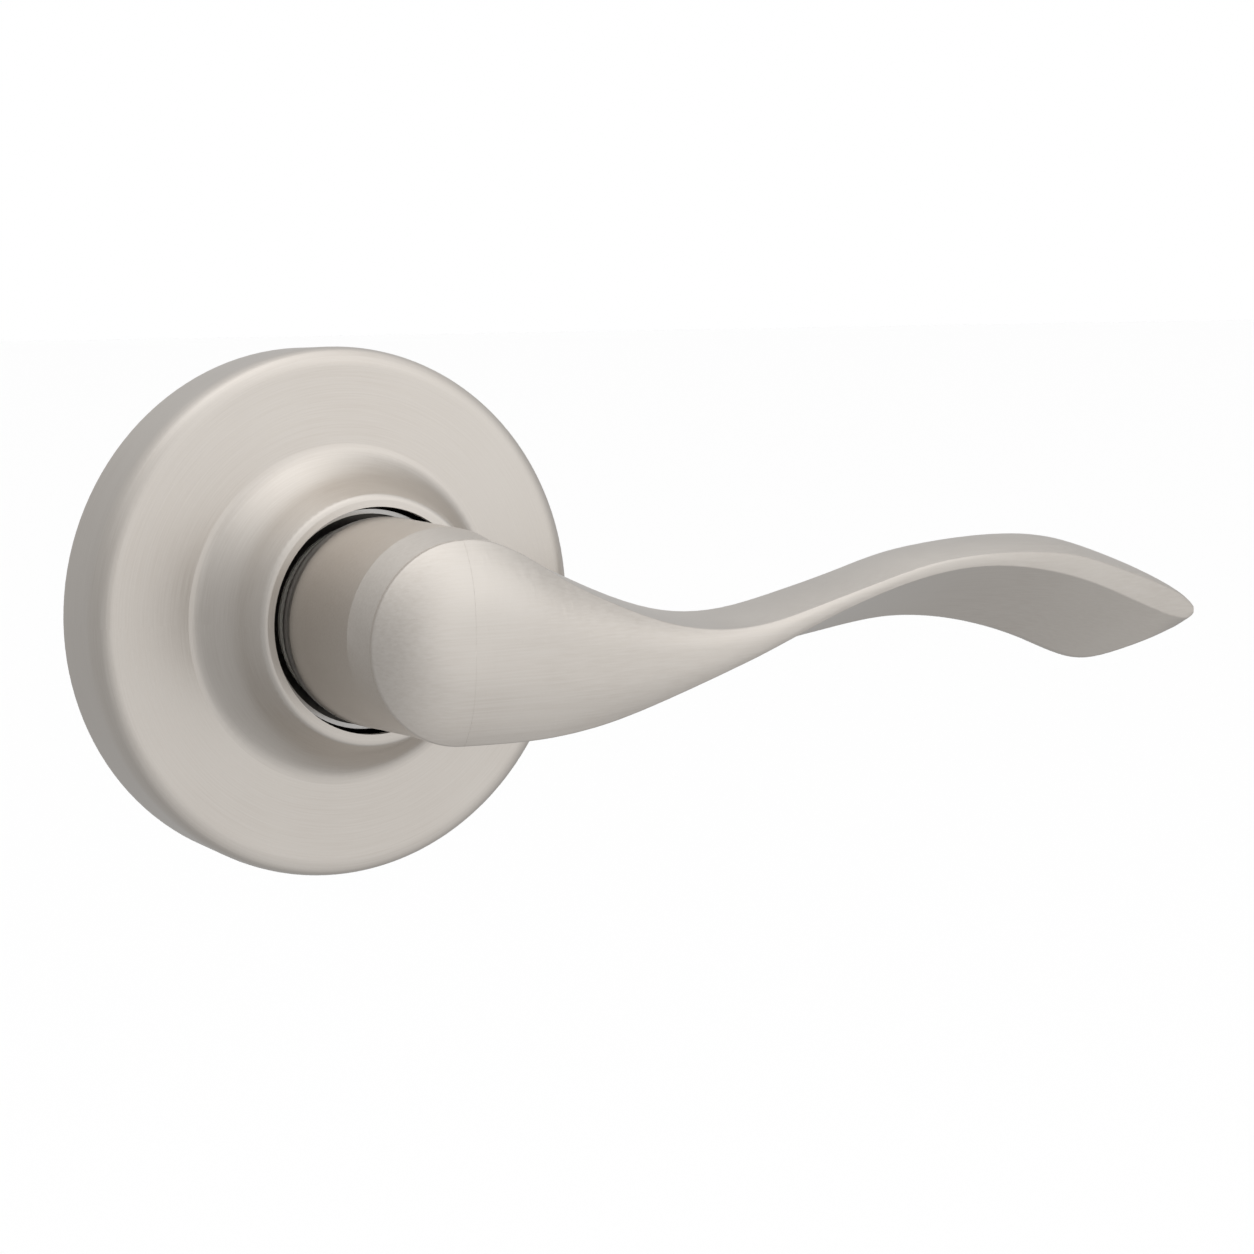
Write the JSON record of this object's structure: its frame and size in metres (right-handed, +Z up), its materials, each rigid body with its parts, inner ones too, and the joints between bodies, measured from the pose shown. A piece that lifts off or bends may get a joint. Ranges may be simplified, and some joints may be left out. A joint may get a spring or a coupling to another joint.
{
  "type": "door lever handle",
  "caption": "Round door rose with a raised collar and a wave-shaped lever on a sprung sleeve, with a square spindle and threaded posts for through bolts.",
  "frame": {"origin": "the spindle axis at the door's face, where the rose and mounting plate rest", "axes": "+Y into the door along the spindle, +X along the lever, +Z up"},
  "size_m": [0.1516, 0.0868, 0.0672],
  "materials": {
    "satin_nickel_rose": "satin nickel plate, brushed",
    "satin_nickel_lever": "satin nickel plate, brushed",
    "zinc_plated_steel": "zinc plated",
    "spring_steel": "tempered spring steel",
    "zinc_casting": "as-cast zinc",
    "screw_steel": "zinc plated",
    "post_steel": "zinc plated",
    "pin_steel": "ground steel",
    "nylon": "natural nylon",
    "washer_steel": "zinc plated",
    "sleeve_steel": "zinc plated",
    "spring_wire": "drawn spring wire",
    "ring_steel": "blackened spring steel",
    "spindle_steel": "zinc plated",
    "catch_steel": "zinc plated"
  },
  "bodies": {
    "rose_assembly": {"rose_cover": "satin_nickel_rose", "mounting_plate": "zinc_plated_steel", "rose_clips": "spring_steel", "spring_housing": "zinc_casting", "housing_screws": "screw_steel", "mounting_posts": "post_steel", "stop_pins": "pin_steel", "hub_bushing": "nylon", "thrust_washer": "washer_steel", "spring_washer": "spring_steel", "return_spring": "spring_wire"},
    "lever": {"lever_handle": "satin_nickel_lever", "drive_sleeve": "sleeve_steel", "drive_plate": "zinc_plated_steel", "retaining_ring": "ring_steel", "spindle_hub": "zinc_casting", "spindle": "spindle_steel", "spindle_pin": "pin_steel", "catch_spring": "spring_wire"},
    "catch": {"lever_catch": "catch_steel"}
  },
  "joints": [
    {"name": "lever_turn", "type": "hinge", "parent": "rose_assembly", "child": "lever", "pos_m": [0, 0, 0], "axis": [0, 1, 0], "range_deg": [-45, 45], "stiffness_Nm_per_rad": 1.5, "deforming": ["return_spring"]},
    {"name": "catch_press", "type": "slide", "parent": "lever", "child": "catch", "axis": [0, 0, 1], "range_m": [0, 0.0039], "stiffness_N_per_m": 400, "springref_m": -0.002, "deforming": ["catch_spring"]}
  ]
}
